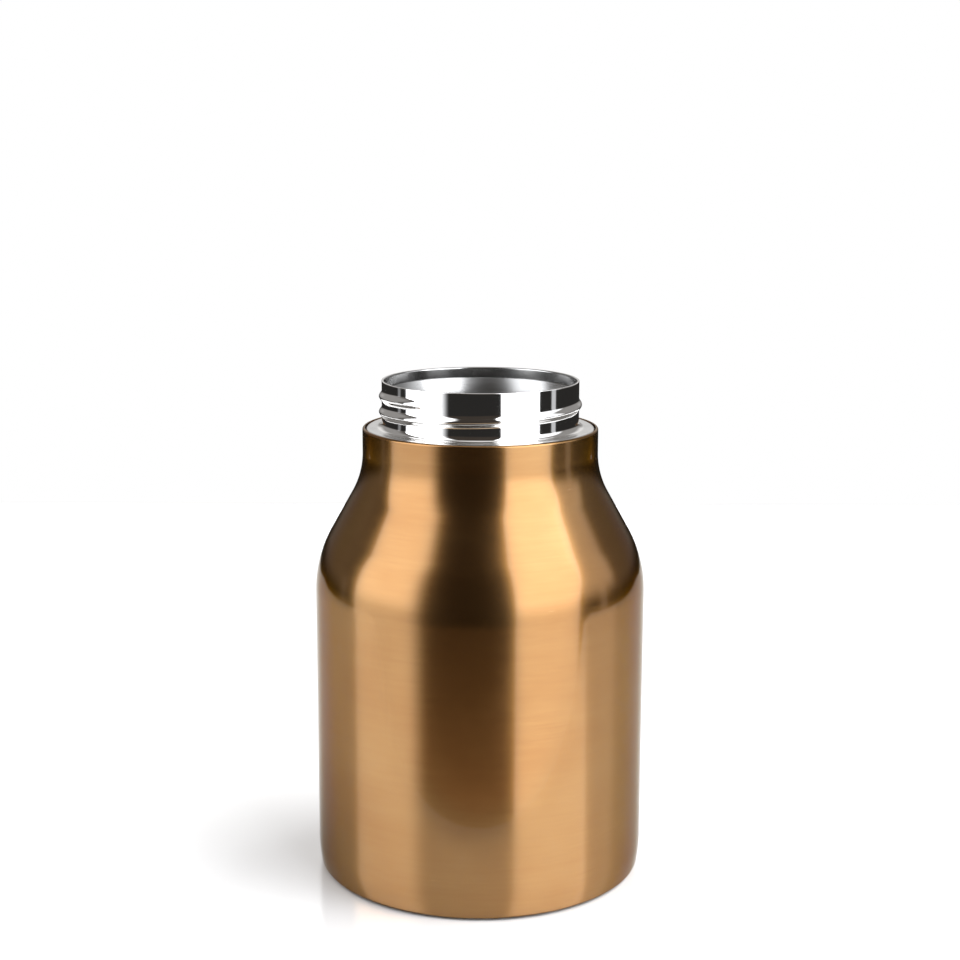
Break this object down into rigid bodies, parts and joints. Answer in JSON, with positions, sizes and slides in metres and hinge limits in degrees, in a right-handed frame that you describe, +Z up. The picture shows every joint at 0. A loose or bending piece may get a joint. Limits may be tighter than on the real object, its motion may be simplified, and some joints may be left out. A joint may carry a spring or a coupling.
{
  "type": "milk frother container",
  "caption": "Open double-walled milk frother container: copper-lacquered steel shell with a sloping shoulder, mirror-polished screw neck and steel liner.",
  "frame": {"origin": "on the vessel's axis, at the level it stands on", "axes": "+Z up along the axis, from the foot to the mouth; -Y is the side seen in the picture"},
  "size_m": [0.09, 0.09, 0.1355],
  "materials": {
    "copper_lacquer": "satin copper-coloured lacquer over steel",
    "polished_steel": "mirror-polished neck, satin shoulder",
    "liner_steel": "electropolished",
    "plain_steel": "mill finish",
    "sealing_glass": "fused",
    "getter_powder": "sintered",
    "copper_foil": "bright foil",
    "brushed_steel_disc": "spun brushing",
    "foam_tape": "foam",
    "silicone": "matt"
  },
  "bodies": {
    "root": {"outer_shell": "copper_lacquer", "neck_ring": "polished_steel", "liner_body": "liner_steel", "liner_bottom": "liner_steel", "shell_base": "plain_steel", "vacuum_seal": "sealing_glass", "getter_pellet": "getter_powder", "getter_clip": "plain_steel", "reflector_foil": "copper_foil", "base_cover": "brushed_steel_disc", "cover_tape": "foam_tape", "foot_ring": "silicone"}
  },
  "joints": []
}
